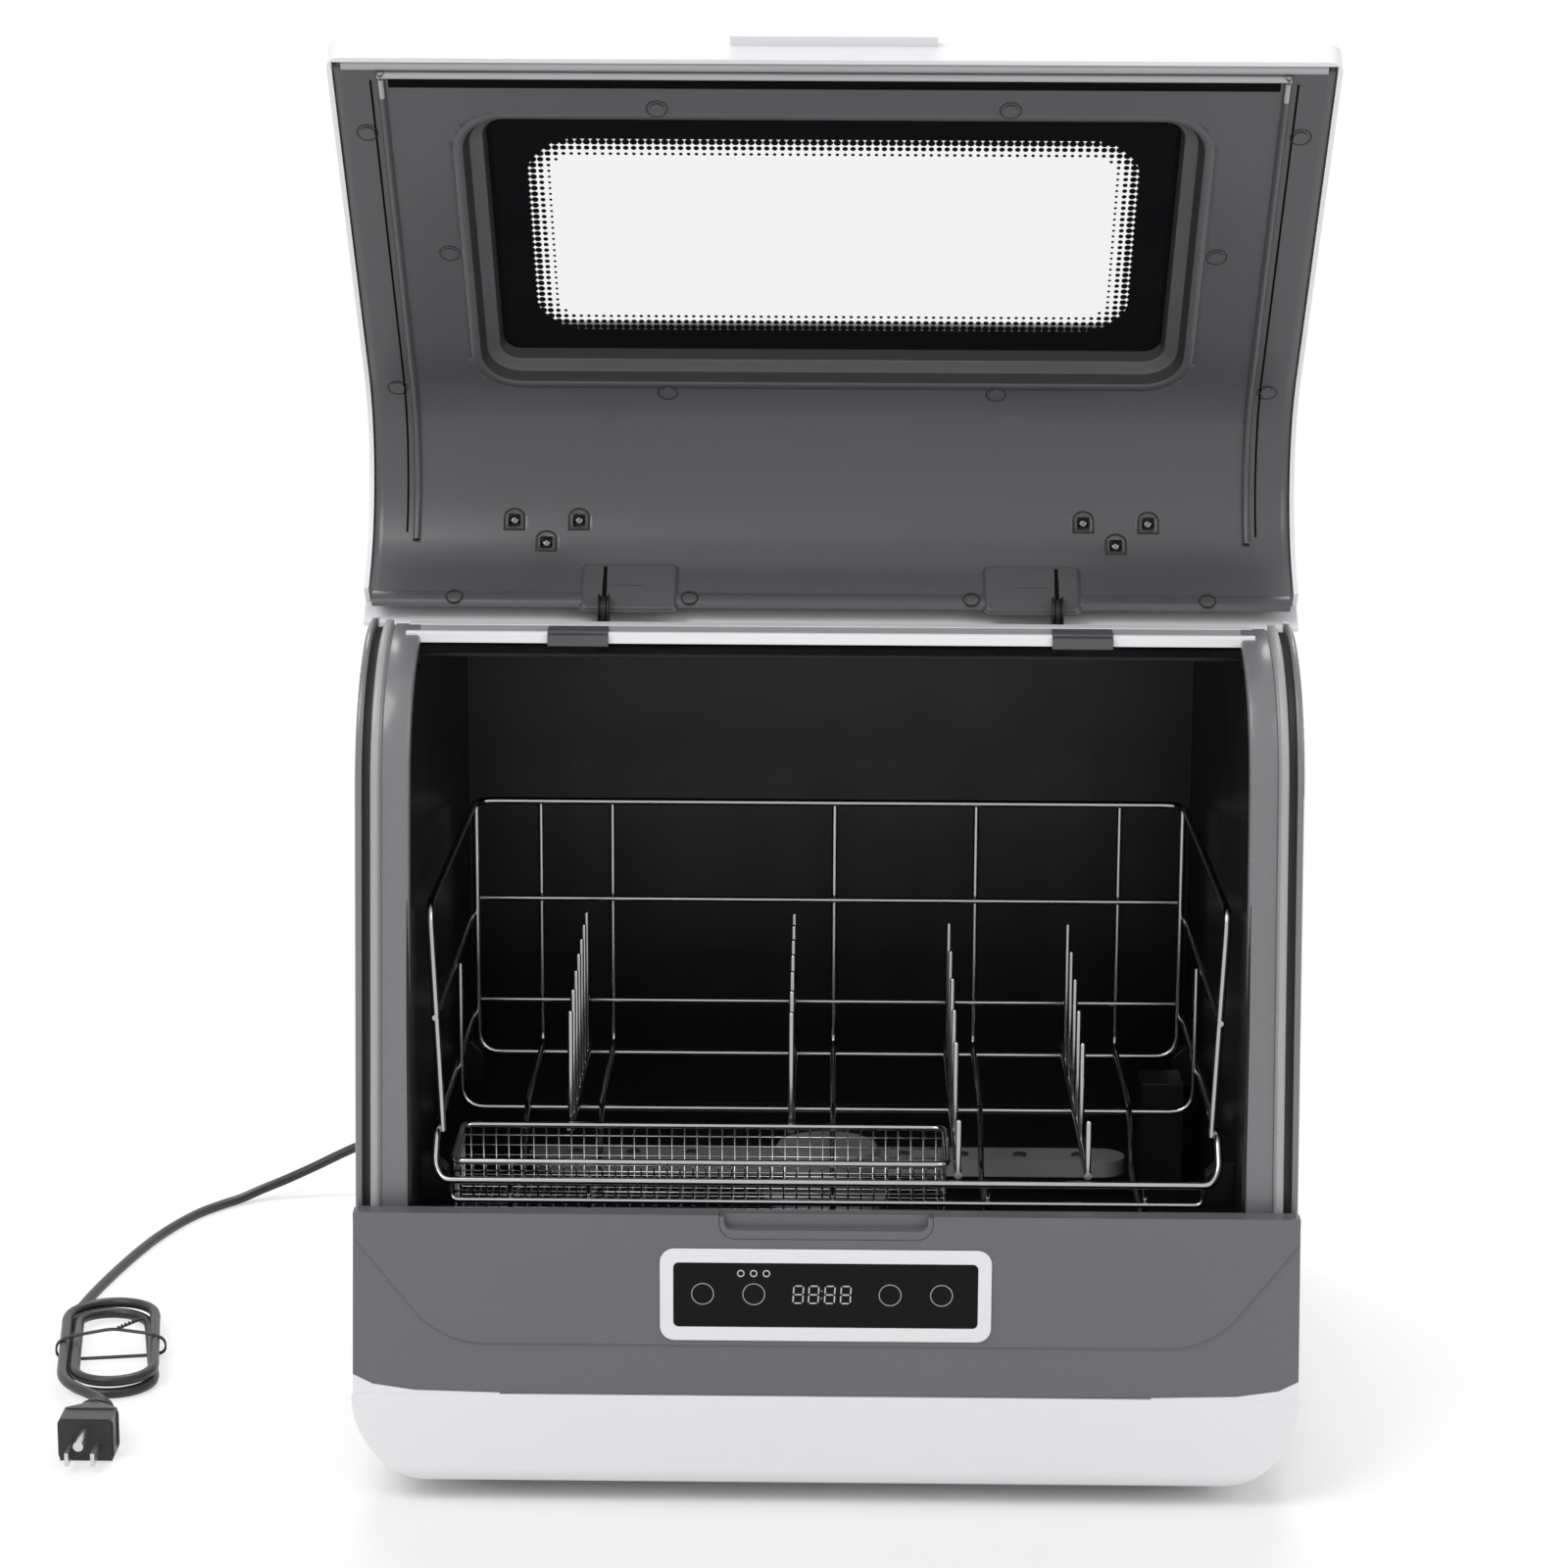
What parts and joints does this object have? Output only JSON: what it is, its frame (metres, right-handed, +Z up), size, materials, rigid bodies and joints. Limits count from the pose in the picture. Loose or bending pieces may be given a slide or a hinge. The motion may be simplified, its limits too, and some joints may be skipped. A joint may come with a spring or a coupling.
{
  "type": "countertop dishwasher",
  "caption": "Compact countertop dishwasher with a top-hinged front lid and window, wire rack, cutlery basket and rotating spray arm",
  "frame": {"origin": "floor level under the middle of the machine, cord left out", "axes": "+X to the right seen from the front, +Y to the rear, +Z up"},
  "size_m": [0.6399, 0.4898, 0.6994],
  "materials": {
    "white_plastic": "satin white moulding",
    "grey_panel": "fine matt dark grey",
    "liner_grey": "smooth mid grey",
    "light_grey": "light grey moulding",
    "black_plastic": "smooth black",
    "tub_black": "smooth dark tub",
    "arm_grey": "mid grey moulding",
    "white_inner": "natural white moulding",
    "rubber": "black rubber",
    "seal": "grey rubber",
    "wire": "polished steel wire",
    "steel": "plain steel",
    "spring": "sprung steel",
    "glass_black": "glass with printed black border",
    "panel_glass": "gloss black window",
    "pcb": "green circuit board",
    "tank": "translucent tank"
  },
  "bodies": {
    "cabinet": {"base_tray": "white_plastic", "feet": "rubber", "front_panel": "grey_panel", "finger_notch": "grey_panel", "control_frame": "white_plastic", "control_glass": "panel_glass", "control_board": "pcb", "display_module": "panel_glass", "touch_springs": "spring", "side_left": "white_plastic", "side_right": "white_plastic", "top_cover": "white_plastic", "rear_cover": "white_plastic", "opening_frame": "light_grey", "cross_bar": "white_plastic", "tub": "tub_black", "hinge_brackets": "steel", "hinge_pins": "steel", "hinge_springs": "light_grey", "reed_switch": "pcb", "spray_hub": "arm_grey", "sump": "black_plastic", "wash_pump": "black_plastic", "drain_pump": "black_plastic", "heater": "steel", "hoses": "rubber", "water_tank": "tank", "fan_housing": "black_plastic", "float_guide": "arm_grey", "main_board": "pcb", "drain_outlet": "light_grey", "rack_rests": "black_plastic", "cord_gland": "rubber", "power_cord": "rubber", "cord_bundle": "rubber", "plug": "rubber"},
    "lid": {"lid_outer": "white_plastic", "lid_liner": "liner_grey", "lid_glass": "glass_black", "lid_glass_seal": "seal", "lid_seal": "seal", "lid_plugs": "liner_grey", "lid_screws": "steel", "hinge_covers": "light_grey", "hinge_arms": "black_plastic", "lid_magnet": "steel"},
    "rack": {"rack_frame": "wire", "rack_floor": "wire", "tine_row_1": "wire", "tine_row_2": "wire", "tine_row_3": "wire", "tine_row_4": "wire"},
    "basket": {"cutlery_basket": "wire"},
    "spray_arm": {"spray_arm": "arm_grey"},
    "wash_impeller": {"wash_impeller": "white_inner"},
    "drain_impeller": {"drain_impeller": "white_inner"},
    "fan_rotor": {"fan_rotor": "black_plastic"},
    "float": {"float_cup": "white_inner"},
    "tank_cap": {"tank_cap": "light_grey"},
    "filter": {"filter_tower": "black_plastic"}
  },
  "joints": [
    {"name": "lid_hinge", "type": "hinge", "parent": "cabinet", "child": "lid", "pos_m": [0, -0.101, 0.42], "axis": [-1, 0, 0], "range_deg": [-141, 0]},
    {"name": "rack_slide", "type": "slide", "parent": "cabinet", "child": "rack", "axis": [0, -0.7071, 0.7071], "range_m": [0, 0.12]},
    {"name": "basket_lift", "type": "slide", "parent": "rack", "child": "basket", "axis": [0, 0, 1], "range_m": [0, 0.1]},
    {"name": "spray_arm_spin", "type": "hinge", "parent": "cabinet", "child": "spray_arm", "pos_m": [0, -0.03, 0.119], "axis": [0, 0, 1], "continuous": true},
    {"name": "wash_pump_spin", "type": "hinge", "parent": "cabinet", "child": "wash_impeller", "pos_m": [-0.0953, -0.03, 0.048], "axis": [1, 0, 0], "continuous": true},
    {"name": "drain_pump_spin", "type": "hinge", "parent": "cabinet", "child": "drain_impeller", "pos_m": [0.12, 0.06, 0.0352], "axis": [0, 1, 0], "continuous": true},
    {"name": "fan_spin", "type": "hinge", "parent": "cabinet", "child": "fan_rotor", "pos_m": [-0.13, 0.132, 0.34], "axis": [0, 1, 0], "continuous": true},
    {"name": "float_rise", "type": "slide", "parent": "cabinet", "child": "float", "axis": [0, 0, 1], "range_m": [0, 0.012]},
    {"name": "tank_cap_lift", "type": "slide", "parent": "cabinet", "child": "tank_cap", "axis": [0, 0, 1], "range_m": [0, 0.04]},
    {"name": "filter_lift", "type": "slide", "parent": "cabinet", "child": "filter", "axis": [0, 0, 1], "range_m": [0, 0.022]}
  ]
}
